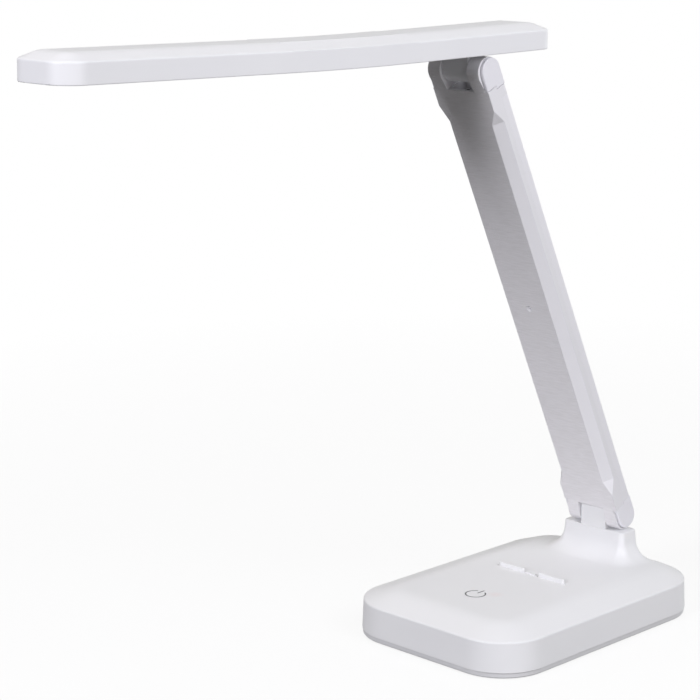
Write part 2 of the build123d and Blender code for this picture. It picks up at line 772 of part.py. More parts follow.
# Rear shell: shallow tray with pegs.
with BuildPart() as arm_rear_shell:
    add(arm_bar.part)
    arm_box(-20, arm_seam, -20, arm_centres + 20, -20, 20)
    arm_box(-20, 20, -20, shell_end, -20, 20)
    arm_box(-20, 20, arm_centres - shell_end, arm_centres + 20, -20, 20)
    arm_box(
        arm_seam,
        arm_rear - front_wall,
        cavity_end,
        arm_centres - cavity_end,
        -cavity_half,
        cavity_half,
    )
    with BuildSketch(arm_face.offset(-arm_rear + 1.0)):
        with Locations(*peg_places):
            Circle(peg_radius)
    extrude(amount=arm_rear - 1.0 - arm_seam + peg_length)
arm_rear_shell.part.label = "arm_rear_shell"
export_step(arm_rear_shell.part, "parts/arm_rear_shell.step")


# Side caps: D-shaped covers over the bolt ends, with a small step in their straight edge.
def side_cap(end, way, low_x, outer_x):
    """Cap at one end of the arm; way points from its axis along the arm."""
    cap_gap = 0.1
    with BuildSketch(arm_side.offset(low_x)) as cover:
        with Locations((arm_middle, end)):
            Circle(nose_radius)
        for middle_m, seam in (
            (arm_middle - nose_radius / 2, cap_seam_front - cap_gap),
            (arm_middle + nose_radius / 2, cap_seam_rear - cap_gap),
        ):
            with Locations((middle_m, end + way * seam / 2)):
                Rectangle(nose_radius, seam)
    extrude(cover.sketch, amount=cap_thickness)
    outer_edges = edges().filter_by(lambda e: abs(e.center().X - outer_x) < 0.01)
    chamfer(outer_edges, 0.3)


cap_left = -arm_width / 2
cap_right = cap_plane_x
with BuildPart() as lower_cap_left:
    side_cap(0, 1, cap_left, cap_left)
lower_cap_left.part.label = "lower_cap_left"
export_step(lower_cap_left.part, "parts/lower_cap_left.step")

with BuildPart() as lower_cap_right:
    side_cap(0, 1, cap_right, arm_width / 2)
lower_cap_right.part.label = "lower_cap_right"
export_step(lower_cap_right.part, "parts/lower_cap_right.step")

with BuildPart() as upper_cap_left:
    side_cap(arm_centres, -1, cap_left, cap_left)
upper_cap_left.part.label = "upper_cap_left"
export_step(upper_cap_left.part, "parts/upper_cap_left.step")

with BuildPart() as upper_cap_right:
    side_cap(arm_centres, -1, cap_right, arm_width / 2)
upper_cap_right.part.label = "upper_cap_right"
export_step(upper_cap_right.part, "parts/upper_cap_right.step")

# Lead through the arm, from fork to fork.
with BuildPart() as arm_lead:
    with BuildSketch(arm_across.offset(lower_pocket + 0.5)):
        with Locations((0, lead_m)):
            Circle(lead_radius)
    extrude(amount=upper_floor - slot_depth - lower_pocket - 1.0)
arm_lead.part.label = "arm_lead"
export_step(arm_lead.part, "parts/arm_lead.step")

# ================================================================ HEAD
plate_start = hinge_station - 29.0      # joint between diffuser and hinge plate
cover_low = 0.8                         # diffuser and plate lie this deep in the rim
cover_thick = 1.6
cover_top = cover_low + cover_thick
head_gap = 0.15
head_lead_y = upper_axis.Y + lead_back
screw_stations = (plate_start + 6.5, tail_station - 9.0)
screw_x = 10.5
led_count = 12
led_x = 5.0
led_first = tip_station + 14.0
led_step = (plate_start - 8.0 - led_first) / (led_count - 1)
board_under = head_ceiling - 1.0
led_low = board_under - 0.7


def head_end(corner, start, end, along_plane):
    """One straight end of the head: rounded wall, slope and flat top, longer than needed."""
    middle = (start + end) / 2
    length = end - start
    with BuildSketch(along_plane) as plan:
        with Locations((0, middle)):
            RectangleRounded(head_width, length, corner)
    extrude(plan.sketch, amount=head_wall)
    with BuildSketch(along_plane.offset(head_wall)) as wall_top:
        with Locations((0, middle)):
            RectangleRounded(head_width, length, corner)
    with BuildSketch(along_plane.offset(head_wall + head_crown)) as panel:
        with Locations((0, middle)):
            RectangleRounded(
                head_width - 2 * head_margin,
                length - 2 * head_margin,
                corner - head_margin,
            )
    loft([wall_top.sketch, panel.sketch], ruled=True)
    top_edges = edges().filter_by(
        lambda e: abs(along_plane.to_local_coords(e.center()).Z - head_wall - head_crown) < 0.01
    )
    fillet(top_edges, panel_round)
    wall_edges = edges().filter_by(
        lambda e: abs(along_plane.to_local_coords(e.center()).Z - head_wall) < 0.01
    )
    fillet(wall_edges, wall_round)
    low_edges = edges().filter_by(
        lambda e: abs(along_plane.to_local_coords(e.center()).Z) < 0.01
    )
    fillet(low_edges, low_round)


front_plane = Plane(origin=bend_point, x_dir=(1, 0, 0), z_dir=front_up)
rear_plane = Plane(origin=bend_point, x_dir=(1, 0, 0), z_dir=rear_up)
front_cut = Plane(origin=bend_point - front_along * bend_reach, z_dir=front_along)
rear_cut = Plane(origin=bend_point + rear_along * bend_reach, z_dir=rear_along)

with BuildPart() as front_end:
    head_end(front_corner, tip_station, 20.0, front_plane)
    split(bisect_by=front_cut, keep=Keep.BOTTOM)

with BuildPart() as rear_end:
    head_end(rear_corner, -20.0, tail_station, rear_plane)
    split(bisect_by=rear_cut, keep=Keep.TOP)

section_plane = Plane(
    origin=bend_point - front_along * bend_reach, x_dir=(1, 0, 0), z_dir=front_along * -1
)
with BuildPart() as bent_middle:
    with BuildSketch(section_plane):
        half = head_width / 2
        with BuildLine():
            Polyline(
                (-half, 0),
                (half, 0),
                (half, head_wall),
                (half - head_margin, head_wall + head_crown),
                (head_margin - half, head_wall + head_crown),
                (-half, head_wall),
                close=True,
            )
        make_face()
        corners = vertices().group_by(Axis.Z)
        fillet(corners[0], low_round)
        fillet(vertices().filter_by(lambda v: abs(abs(v.X) - half) < 0.01 and v.Z > bend_z + 5), wall_round)
        fillet(
            vertices().filter_by(lambda v: abs(abs(v.X) - half + head_margin) < 0.01), panel_round
        )
    revolve(axis=Axis(bend_centre, (1, 0, 0)), revolution_arc=bend_angle)

# The hollow of the housing follows the bend too.
with BuildPart() as head_hollow:
    head_strip(
        head_width - 2 * head_shell,
        -1.0,
        head_ceiling,
        tip_station + head_shell,
        tail_station - head_shell,
    )
    uprights = head_hollow.edges().filter_by(lambda e: abs(e.tangent_at(0.5).Z) > 0.99)
    fillet(uprights.group_by(Axis.Y)[0], front_corner - head_shell)
    fillet(
        head_hollow.edges()
        .filter_by(lambda e: abs(e.tangent_at(0.5).Z) > 0.99)
        .group_by(Axis.Y)[-1],
        rear_corner - head_shell,
    )

# Housing: one long moulding, open below, with four screw bosses over the hinge plate.
with BuildPart() as head_housing:
    add(front_end.part)
    add(bent_middle.part)
    add(rear_end.part)
    add(head_hollow.part, mode=Mode.SUBTRACT)
    for station in screw_stations:
        with BuildSketch(run_plane(station, cover_top)):
            with Locations((-screw_x, 0), (screw_x, 0)):
                Circle(2.6)
        extrude(amount=head_ceiling + 0.3 - cover_top)
        with BuildSketch(run_plane(station, cover_top)):
            with Locations((-screw_x, 0), (screw_x, 0)):
                Circle(1.05)
        extrude(amount=5.0, mode=Mode.SUBTRACT)
head_housing.part.label = "head_housing"
export_step(head_housing.part, "parts/head_housing.step")


def end_corners(part, group, radius):
    """Round the upright edges at the front or rear end of a plate."""
    uprights = part.edges().filter_by(lambda e: abs(e.tangent_at(0.5).Z) > 0.99)
    fillet(uprights.group_by(Axis.Y)[group], radius)


# Opal diffuser under the light source.
with BuildPart() as diffuser:
    head_strip(
        head_width - 2 * head_shell - 2 * head_gap,
        cover_low,
        cover_top,
        tip_station + head_shell + head_gap,
        plate_start - head_gap,
    )
    end_corners(diffuser, 0, front_corner - head_shell - head_gap)
diffuser.part.label = "diffuser"
export_step(diffuser.part, "parts/diffuser.step")

# Hinge plate: closes the rear underside and carries the barrel between the arm's ears.
with BuildPart() as head_hinge_plate:
    head_strip(
        head_width - 2 * head_shell - 2 * head_gap,
        cover_low,
        cover_top,
        plate_start,
        tail_station - head_shell - head_gap,
    )
    end_corners(head_hinge_plate, -1, rear_corner - head_shell - head_gap)
    neck_top = run_plane(hinge_station, cover_low + 0.4).origin.Z
    with BuildSketch(Plane.YZ.offset(-barrel_half)):
        with Locations((upper_axis.Y, upper_axis.Z)):
            Circle(barrel_radius)
        with Locations((upper_axis.Y, (upper_axis.Z + neck_top) / 2)):
            Rectangle(2 * barrel_radius, neck_top - upper_axis.Z)
    extrude(amount=2 * barrel_half)
    cross_cylinder(upper_axis, bush_radius + running_gap, -10, 10, mode=Mode.SUBTRACT)
    with BuildSketch(Plane.XY.offset(upper_axis.Z)):
        with Locations((0, head_lead_y)):
            Rectangle(lead_slot_x, lead_slot_y)
    extrude(amount=15, both=True, mode=Mode.SUBTRACT)
    for station in screw_stations:
        with BuildSketch(run_plane(station, cover_low)):
            with Locations((-screw_x, 0), (screw_x, 0)):
                Circle(1.3)
        extrude(amount=3, both=True, mode=Mode.SUBTRACT)
        with BuildSketch(run_plane(station, cover_low)):
            with Locations((-screw_x, 0), (screw_x, 0)):
                Circle(2.3)
        extrude(amount=0.9, mode=Mode.SUBTRACT)
head_hinge_plate.part.label = "head_hinge_plate"
export_step(head_hinge_plate.part, "parts/head_hinge_plate.step")

with BuildPart() as head_screws:
    for station in screw_stations:
        with BuildSketch(run_plane(station, cover_low + 0.1)):
            with Locations((-screw_x, 0), (screw_x, 0)):
                Circle(2.15)
        extrude(amount=0.8)
        with BuildSketch(run_plane(station, cover_low + 0.9)):
            with Locations((-screw_x, 0), (screw_x, 0)):
                Circle(1.0)
        extrude(amount=5.2)
head_screws.part.label = "head_screws"
export_step(head_screws.part, "parts/head_screws.step")

# Light source: a bent strip board on the ceiling, two rows of light-emitting diodes and a
# white sheet with a window for each.
led_places = [led_first + led_step * i for i in range(led_count)]
with BuildPart() as led_board:
    head_strip(24.0, board_under, head_ceiling, tip_station + 8.0, plate_start - 2.0)
led_board.part.label = "led_board"
export_step(led_board.part, "parts/led_board.step")

with BuildPart() as reflector_sheet:
    head_strip(29.0, board_under - 0.3, board_under, tip_station + 8.0, plate_start - 2.0)
    for station in led_places:
        with BuildSketch(run_plane(station, board_under - 1)):
            with Locations((-led_x, 0), (led_x, 0)):
                Rectangle(3.4, 4.1)
        extrude(amount=2, mode=Mode.SUBTRACT)
reflector_sheet.part.label = "reflector_sheet"
export_step(reflector_sheet.part, "parts/reflector_sheet.step")


def led_row(x):
    """One row of flat packages under the board."""
    for station in led_places:
        with BuildSketch(run_plane(station, led_low)) as package:
            with Locations((x, 0)):
                Rectangle(2.8, 3.5)
        extrude(package.sketch, amount=board_under - led_low)


with BuildPart() as warm_leds:
    led_row(-led_x)
warm_leds.part.label = "warm_leds"
export_step(warm_leds.part, "parts/warm_leds.step")

with BuildPart() as cool_leds:
    led_row(led_x)
cool_leds.part.label = "cool_leds"
export_step(cool_leds.part, "parts/cool_leds.step")

# Lead from the barrel up through the plate and forward to the board.
with BuildPart() as head_lead:
    inside_z = run_plane(hinge_station, cover_top + 2.2).origin.Z
    board_end = run_plane(plate_start - 2.0, board_under).origin
    lead(
        [
            (0, head_lead_y, upper_axis.Z - 2.4),
            (0, head_lead_y, inside_z),
            (0, board_end.Y + 12.0, inside_z),
            (0, board_end.Y + 4.0, board_end.Z),
            (0, board_end.Y, board_end.Z),
        ],
        [2.2, 4.0, 4.0],
    )
head_lead.part.label = "head_lead"
export_step(head_lead.part, "parts/head_lead.step")
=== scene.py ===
# %% [markdown]
# # A folding desk lamp in a white studio
# The lamp's solids arrive as a fixed frame: forty pieces that already have their real shape
# and place. This lesson gives each of them the finish of the real thing, adds the few things
# that are printed or cut too finely for the solids, and lights and photographs the whole.

# %% Load the frame
import bpy
import json
import numpy as np
from math import cos, pi, radians, sin
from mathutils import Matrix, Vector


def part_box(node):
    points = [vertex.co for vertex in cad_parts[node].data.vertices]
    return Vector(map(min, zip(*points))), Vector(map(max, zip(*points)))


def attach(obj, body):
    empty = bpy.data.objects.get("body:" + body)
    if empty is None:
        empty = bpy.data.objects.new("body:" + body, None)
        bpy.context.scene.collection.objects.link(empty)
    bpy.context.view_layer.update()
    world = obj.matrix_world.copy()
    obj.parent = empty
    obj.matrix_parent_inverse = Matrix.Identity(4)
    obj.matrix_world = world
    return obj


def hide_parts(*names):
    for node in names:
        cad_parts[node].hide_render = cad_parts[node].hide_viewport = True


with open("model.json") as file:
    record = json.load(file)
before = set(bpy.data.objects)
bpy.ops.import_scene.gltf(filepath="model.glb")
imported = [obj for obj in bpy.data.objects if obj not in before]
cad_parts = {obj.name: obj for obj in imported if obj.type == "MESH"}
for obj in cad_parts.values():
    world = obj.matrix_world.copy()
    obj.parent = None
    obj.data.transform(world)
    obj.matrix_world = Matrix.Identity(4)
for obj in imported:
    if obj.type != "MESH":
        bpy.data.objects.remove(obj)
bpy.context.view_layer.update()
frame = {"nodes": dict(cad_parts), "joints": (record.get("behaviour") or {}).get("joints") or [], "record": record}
nodes = frame["nodes"]
record = frame["record"]
joint_at = {joint["name"]: joint["pos_m"] for joint in frame["joints"]}
MM = 0.001

# %% [markdown]
# ## The camera
# A small product like this is photographed with a long lens from a metre away, so that its
# upright edges stay nearly parallel. The camera stands in front of the lamp and to its right,
# a little above the head, and looks down slightly. The small shift does what a photographer
# does with a shift lens: it moves the picture without tilting the camera.

# %% Camera
camera_place = (0.64816, -0.76878, 0.35826)
camera_turn = 44.44        # degrees left of straight ahead
camera_dip = 12.04         # degrees below level
camera_data = bpy.data.cameras.new("camera")
camera_data.sensor_width = 36.0
camera_data.lens = 111.13
camera_data.shift_x = -0.0300
camera_data.shift_y = -0.0268
camera_data.clip_start = 0.05
camera_data.clip_end = 50.0
camera = bpy.data.objects.new("camera", camera_data)
camera.location = camera_place
camera.rotation_euler = (radians(90 - camera_dip), 0.0, radians(camera_turn))
bpy.context.scene.collection.objects.link(camera)
bpy.context.scene.camera = camera
print("lens", camera_data.lens, "mm")

# %% [markdown]
# ## Two helpers for node trees
# Colours are written as the hex values that a paint chart gives. They are sRGB, and a shader
# wants linear light, so one function turns one into the other. A second function adds a node,
# sets it up and links it in one line, which keeps the material recipes short enough to read.

# %% Helpers for colours and nodes
def linear(hex_text):
    """Linear red, green, blue and alpha of a hex colour: a channel c is c / 12.92 when it is
    at most 0.04045, and otherwise ((c + 0.055) / 1.055) to the power 2.4."""
    channels = [int(hex_text[i:i + 2], 16) / 255 for i in (1, 3, 5)]
    light = [c / 12.92 if c <= 0.04045 else ((c + 0.055) / 1.055) ** 2.4 for c in channels]
    return (*light, 1.0)


def put(tree, kind, inputs=None, **settings):
    """Add one node. An input is a constant or an output socket, which is linked."""
    node = tree.nodes.new(kind)
    for name, value in settings.items():
        setattr(node, name, value)
    for name, value in (inputs or {}).items():
        if isinstance(value, bpy.types.NodeSocket):
            tree.links.new(value, node.inputs[name])
        else:
            node.inputs[name].default_value = value
    return node


def new_material(name):
    """An empty node material with its output node."""
    material = bpy.data.materials.new(name)
    material.use_nodes = True
    material.node_tree.nodes.clear()
    output = put(material.node_tree, "ShaderNodeOutputMaterial")
    return material, material.node_tree, output


print("white paper is", [round(c, 3) for c in linear("#f4f4f2")[:3]])

# %% [markdown]
# ## The studio
# White plastic only looks white when it is lit from large, soft sources, and it only looks
# solid when one side is darker than another. This lamp is lit by a big soft box far in front,
# two on the right, one of them high, and a small one overhead, and the room adds soft light
# from the back, the left, the back left and the right. Light adds up, so each source was first
# rendered alone and the strengths were chosen together. The left, back left and overhead ones
# were then trimmed from one render to the next. The head shades the top of the arm,
# and the arm grows lighter towards the base.

# %% Room light
def glow(tree, direction, azimuth, elevation, colour, strength):
    """One soft lobe of the room's light: the cosine between the view direction and the
    lobe's axis, kept above zero, to the power 6, times colour and strength."""
    a, e = radians(azimuth), radians(elevation)
    axis = (cos(e) * cos(a), cos(e) * sin(a), sin(e))
    cosine = put(tree, "ShaderNodeVectorMath", {0: direction, 1: axis}, operation="DOT_PRODUCT")
    above = put(tree, "ShaderNodeMath", {0: cosine.outputs["Value"], 1: 0.0}, operation="MAXIMUM")
    lobe = put(tree, "ShaderNodeMath", {0: above.outputs["Value"], 1: 6.0}, operation="POWER")
    size = put(tree, "ShaderNodeMath", {
        0: lobe.outputs["Value"], 1: strength}, operation="MULTIPLY")
    return put(tree, "ShaderNodeBackground", {
        "Color": linear(colour), "Strength": size.outputs["Value"],
    }).outputs["Background"]


world = bpy.data.worlds.new("studio_room")
bpy.context.scene.world = world
world.use_nodes = True
tree = world.node_tree
tree.nodes.clear()
toward = put(tree, "ShaderNodeTexCoord").outputs["Generated"]
back = glow(tree, toward, 90, 5, "#fafeff", 1.41)
left = glow(tree, toward, 180, 45, "#fffaf4", 1.05)
right = glow(tree, toward, 0, 5, "#fffafb", 1.05)
back_left = glow(tree, toward, 150, 5, "#fffdfa", 0.35)
lit = put(tree, "ShaderNodeAddShader", {0: back, 1: left})
for lobe in (right, back_left):
    lit = put(tree, "ShaderNodeAddShader", {0: lit.outputs[0], 1: lobe})
white = put(tree, "ShaderNodeBackground", {"Color": (1, 1, 1, 1), "Strength": 1.0})
seen = put(tree, "ShaderNodeLightPath")
both = put(tree, "ShaderNodeMixShader", {
    0: seen.outputs["Is Camera Ray"], 1: lit.outputs[0], 2: white.outputs[0],
})
put(tree, "ShaderNodeOutputWorld", {"Surface": both.outputs[0]})
bpy.context.scene.view_settings.view_transform = "Standard"
bpy.context.scene.view_settings.look = "None"


# %% Soft boxes
def soft_box(name, place, size, watts, colour):
    """A square light of the given size at place that faces the lamp's middle."""
    data = bpy.data.lights.new(name, "AREA")
    data.shape = "SQUARE"
    data.size = size
    data.energy = watts
    data.color = linear(colour)[:3]
    lamp = bpy.data.objects.new(name, data)
    lamp.location = place
    aim = Vector((0.0, -0.06, 0.15)) - Vector(place)
    lamp.rotation_euler = aim.to_track_quat("-Z", "Y").to_euler()
    bpy.context.scene.collection.objects.link(lamp)
    return lamp


soft_box("front_box", (0.05, -1.5, 0.7), 0.4, 15.3, "#f9f9ff")
soft_box("right_high_box", (0.7, -0.05, 0.7), 0.5, 3.65, "#f8f9ff")
soft_box("right_box", (0.9, -0.1, 0.4), 0.5, 0.92, "#fafeff")
soft_box("overhead_box", (0.0, 0.0, 0.95), 0.4, 0.52, "#fffff4")
print("four soft boxes")

# %% [markdown]
# ## The table
# The floor is a pale disc that fades out before its edge, so that it meets the white room
# without a line. The fade is a ramp on the distance from the middle, worked out from the
# floor's own coordinates. The picture shows only half as much of the floor as the lamp feels
# in its bounce light, which is how a retouched white ground looks.

# %% Floor
floor_radius = 1.6
rim_points = 64
turns = np.linspace(0, 2 * pi, rim_points, endpoint=False)
rim = np.stack([floor_radius * np.cos(turns), floor_radius * np.sin(turns), 0 * turns], axis=1)
floor_mesh = bpy.data.meshes.new("floor")
floor_mesh.from_pydata(rim.tolist(), [], [list(range(rim_points))])
floor = bpy.data.objects.new("floor", floor_mesh)
bpy.context.scene.collection.objects.link(floor)
paper, tree, output = new_material("matt_white_table")
spot = put(tree, "ShaderNodeTexCoord")
reach = put(tree, "ShaderNodeVectorMath", {0: spot.outputs["Object"]}, operation="LENGTH")
fade = put(tree, "ShaderNodeMapRange", {
    "Value": reach.outputs["Value"], "From Min": 0.15, "From Max": 0.75,
    "To Min": 0.25, "To Max": 0.0,
})
ray = put(tree, "ShaderNodeLightPath")
part_seen = put(tree, "ShaderNodeMapRange", {
    "Value": ray.outputs["Is Camera Ray"], "To Min": 1.0, "To Max": 0.5,
})
cover = put(tree, "ShaderNodeMath", {
    0: fade.outputs["Result"], 1: part_seen.outputs["Result"],
}, operation="MULTIPLY")
card = put(tree, "ShaderNodeBsdfDiffuse", {"Color": linear("#fafafa")})
clear = put(tree, "ShaderNodeBsdfTransparent")
mix = put(tree, "ShaderNodeMixShader", {
    0: cover.outputs["Value"], 1: clear.outputs[0], 2: card.outputs[0],
})
tree.links.new(mix.outputs[0], output.inputs["Surface"])
floor_mesh.materials.append(paper)

# %% [markdown]
# ## Moulded plastic
# Nearly all of the lamp is white ABS, injection moulded in steel tools. Up close such a
# surface is never a flat colour: the tool's finish prints a fine grain on it, the white is a
# shade warmer or cooler from place to place where the melt cooled at another speed, and every
# edge carries a small radius because a tool can't cut a perfect corner. The recipe below
# builds these three things in order: a slow cloud for the colour, a fine noise for the grain,
# and rounded normals for the edges. One function serves all white mouldings, because only
# the grain's size and depth and the tint differ between them.

# %% Recipe for satin moulded ABS
def moulded_plastic(name, tint, shade, roughness, grain_mm, grain_depth_mm, edge_mm):
    """White injection-moulded ABS. The colour wanders between tint and shade over some
    40 mm; the grain is noise whose cells are grain_mm wide; edges look rounded by edge_mm."""
    material, tree, output = new_material(name)
    place = put(tree, "ShaderNodeTexCoord")
    cloud = put(tree, "ShaderNodeTexNoise", {
        "Vector": place.outputs["Object"], "Scale": 1 / (40 * MM), "Detail": 3.0,
    })
    colour = put(tree, "ShaderNodeMix", {
        0: cloud.outputs["Fac"], 6: linear(tint), 7: linear(shade),
    }, data_type="RGBA")
    grain = put(tree, "ShaderNodeTexNoise", {
        "Vector": place.outputs["Object"], "Scale": 1 / (grain_mm * MM), "Detail": 2.0,
    })
    gloss = put(tree, "ShaderNodeMapRange", {
        "Value": grain.outputs["Fac"], "From Min": 0.3, "From Max": 0.7,
        "To Min": roughness - 0.04, "To Max": roughness + 0.06,
    })
    rounded = put(tree, "ShaderNodeBevel", {"Radius": edge_mm * MM}, samples=4)
    relief = put(tree, "ShaderNodeBump", {
        "Height": grain.outputs["Fac"], "Distance": grain_depth_mm * MM,
        "Strength": 1.0, "Normal": rounded.outputs["Normal"],
    })
    plastic = put(tree, "ShaderNodeBsdfPrincipled", {
        "Base Color": colour.outputs[2], "Roughness": gloss.outputs["Result"],
        "IOR": 1.54, "Normal": relief.outputs["Normal"],
    })
    tree.links.new(plastic.outputs[0], output.inputs["Surface"])
    return material, tree, plastic


finishes = {}
finishes["cover_plastic"] = moulded_plastic(
    "satin_moulded_abs_cover", "#dededf", "#d8d8da", 0.45, 0.5, 0.004, 0.25)[0]
finishes["head_plastic"] = moulded_plastic(
    "satin_moulded_abs_head", "#f0f0f2", "#ebebee", 0.40, 0.5, 0.004, 0.30)[0]
finishes["arm_plastic"] = moulded_plastic(
    "satin_moulded_abs_arm", "#efeef1", "#eae9ee", 0.40, 0.5, 0.004, 0.30)[0]
finishes["cap_plastic"] = moulded_plastic(
    "satin_moulded_abs_caps", "#efeef2", "#eae9ef", 0.40, 0.5, 0.004, 0.12)[0]
print("white mouldings:", sorted(finishes))

# %% [markdown]
# ## The base and its touch spot
# The base is the same satin ABS. Beside the touch symbol a small indicator sits under the
# shell, and the plastic over it is thin, so a faint pink tinge shows there even when the lamp
# is off. A light pipe could be modelled, but the real surface is unbroken, so the tinge is a
# soft round patch in the colour: the distance from one point, turned into a blend.

# %% Material: satin ABS of the base with the indicator's tinge
finishes["base_plastic"], tree, plastic = moulded_plastic(
    "satin_moulded_abs_base", "#f1f1f2", "#ececee", 0.50, 0.5, 0.004, 0.35)
indicator = (7.0 * MM, -30.8 * MM, 22.5 * MM)
place = put(tree, "ShaderNodeTexCoord")
offset = put(tree, "ShaderNodeVectorMath", {
    0: place.outputs["Object"], 1: indicator,
}, operation="DISTANCE")
patch = put(tree, "ShaderNodeMapRange", {
    "Value": offset.outputs["Value"], "From Min": 0.5 * MM, "From Max": 5.0 * MM,
    "To Min": 0.30, "To Max": 0.0,
}, interpolation_type="SMOOTHSTEP")
plain = plastic.inputs["Base Color"].links[0].from_socket
tinted = put(tree, "ShaderNodeMix", {
    0: patch.outputs["Result"], 6: plain, 7: linear("#f0dedd"),
}, data_type="RGBA")
tree.links.new(tinted.outputs[2], plastic.inputs["Base Color"])
print("tinge at", [round(c / MM, 1) for c in indicator], "mm")

# %% [markdown]
# ## The arm's textured face
# The arm's front is spark eroded: the tool was burnt with an electrode, which leaves a field
# of tiny craters, and the plastic copies them. It looks matt and a little grainy beside the
# satin chamfers and sides. The craters are Voronoi cells of about 0.7 mm, coarser than the
# real 0.1 mm so that they still show at this distance. Only the faces that look the way of
# the arm's front have them, so the recipe compares the surface's own direction with that way.
# The face also has fine cross lines about 0.6 mm apart, like those that stoning a tool by hand
# leaves: noise whose X is squeezed to a tenth is stretched ten times that way. The same noise
# also darkens the colour a little along the lines, which is painted shade.

# %% Material: spark-eroded ABS of the arm
arm_lean = radians(25.0)
front_way = (0.0, -cos(arm_lean), -sin(arm_lean))
finishes["arm_textured_plastic"], tree, plastic = moulded_plastic(
    "spark_eroded_abs_arm", "#edecef", "#e7e6ea", 0.42, 0.5, 0.004, 0.30)
place = put(tree, "ShaderNodeTexCoord")
facing = put(tree, "ShaderNodeVectorMath", {
    0: place.outputs["Normal"], 1: front_way,
}, operation="DOT_PRODUCT")
textured = put(tree, "ShaderNodeMapRange", {
    "Value": facing.outputs["Value"], "From Min": 0.90, "From Max": 0.97,
})
craters = put(tree, "ShaderNodeTexVoronoi", {
    "Vector": place.outputs["Object"], "Scale": 1 / (0.7 * MM), "Randomness": 1.0,
}, feature="SMOOTH_F1")
across = put(tree, "ShaderNodeMapping", {
    "Vector": place.outputs["Object"], "Scale": (0.1, 1.0, 1.0),
})
lines = put(tree, "ShaderNodeTexNoise", {
    "Vector": across.outputs["Vector"], "Scale": 1 / (0.6 * MM), "Detail": 3.0,
})
burnt = put(tree, "ShaderNodeMath", {
    0: craters.outputs["Distance"], 1: lines.outputs["Fac"],
}, operation="ADD")
depth = put(tree, "ShaderNodeMath", {
    0: burnt.outputs["Value"], 1: textured.outputs["Result"],
}, operation="MULTIPLY")
fine = plastic.inputs["Normal"].links[0].from_socket
pitted = put(tree, "ShaderNodeBump", {
    "Height": depth.outputs["Value"], "Distance": 0.12 * MM, "Strength": 1.0, "Normal": fine,
})
tree.links.new(pitted.outputs["Normal"], plastic.inputs["Normal"])
# painted shade: the cross lines' noise darkens the textured face's colour a little along the lines
line_shade_amount = put(tree, "ShaderNodeMapRange", {
    "Value": lines.outputs["Fac"], "From Min": 0.25, "From Max": 0.75,
})
painted_line_shade = put(tree, "ShaderNodeMix", {
    0: line_shade_amount.outputs["Result"], 6: linear("#f1eff2"), 7: linear("#e7e5e7"),
}, data_type="RGBA")
even = plastic.inputs["Base Color"].links[0].from_socket
streaked = put(tree, "ShaderNodeMix", {
    0: textured.outputs["Result"], 6: even, 7: painted_line_shade.outputs[2],
}, data_type="RGBA")
tree.links.new(streaked.outputs[2], plastic.inputs["Base Color"])
satin = plastic.inputs["Roughness"].links[0].from_socket
matt = put(tree, "ShaderNodeMix", {
    0: textured.outputs["Result"], 2: satin, 3: 0.68,
}, data_type="FLOAT")
tree.links.new(matt.outputs[0], plastic.inputs["Roughness"])
print("textured faces look along", [round(c, 2) for c in front_way])

# %% [markdown]
# ## Opal diffuser
# The light window is a sheet of opal polystyrene: clear plastic with a fine white filler. It
# lets light through but no shapes, so it looks soft and milky, a shade warmer than the white
# housing. Subsurface scattering gives that milkiness, and a fine matt etch breaks the gloss.

# %% Material: opal polystyrene
finishes["opal_plastic"], tree, output = new_material("opal_polystyrene_sheet")
place = put(tree, "ShaderNodeTexCoord")
filler = put(tree, "ShaderNodeTexNoise", {
    "Vector": place.outputs["Object"], "Scale": 1 / (12 * MM), "Detail": 2.0,
})
milk = put(tree, "ShaderNodeMix", {
    0: filler.outputs["Fac"], 6: linear("#f7f6f0"), 7: linear("#f1f0e9"),
}, data_type="RGBA")
etch = put(tree, "ShaderNodeTexNoise", {
    "Vector": place.outputs["Object"], "Scale": 1 / (0.3 * MM), "Detail": 1.0,
})
frosted = put(tree, "ShaderNodeBump", {
    "Height": etch.outputs["Fac"], "Distance": 0.006 * MM, "Strength": 1.0,
})
opal = put(tree, "ShaderNodeBsdfPrincipled", {
    "Base Color": milk.outputs[2], "Roughness": 0.33, "IOR": 1.59,
    "Subsurface Weight": 0.5, "Subsurface Radius": (1.0, 0.9, 0.8),
    "Subsurface Scale": 1.5 * MM, "Normal": frosted.outputs["Normal"],
})
tree.links.new(opal.outputs[0], output.inputs["Surface"])
print("opal sheet ready")

# %% [markdown]
# ## Rubber, foam and sleeves
# Under the base lies a thin silicone mat with a square pattern of small raised pads that
# grip the table. The product of two sine waves makes the pads: it is high where both waves
# are, so it repeats every 3 mm in both directions. The foam tape under the battery is black
# closed-cell polyethylene, drawn as Voronoi bubbles, and the leads have a soft PVC sleeve
# whose extrusion left faint lengthwise waves.

# %% Material: embossed silicone rubber
finishes["mat_rubber"], tree, output = new_material("embossed_silicone_mat")
pitch_mm = 3.0
place = put(tree, "ShaderNodeTexCoord")
axes = put(tree, "ShaderNodeSeparateXYZ", {"Vector": place.outputs["Object"]})
waves = []
for axis in ("X", "Y"):
    angle = put(tree, "ShaderNodeMath", {
        0: axes.outputs[axis], 1: 2 * pi / (pitch_mm * MM),
    }, operation="MULTIPLY")
    waves.append(put(tree, "ShaderNodeMath", {0: angle.outputs["Value"]}, operation="SINE"))
product = put(tree, "ShaderNodeMath", {
    0: waves[0].outputs["Value"], 1: waves[1].outputs["Value"],
}, operation="MULTIPLY")
pads = put(tree, "ShaderNodeMapRange", {
    "Value": product.outputs["Value"], "From Min": 0.1, "From Max": 0.5,
}, interpolation_type="SMOOTHSTEP")
bloom = put(tree, "ShaderNodeTexNoise", {
    "Vector": place.outputs["Object"], "Scale": 1 / (9 * MM), "Detail": 5.0,
})
grey = put(tree, "ShaderNodeMix", {
    0: bloom.outputs["Fac"], 6: linear("#c3c3c5"), 7: linear("#b4b4b7"),
}, data_type="RGBA")
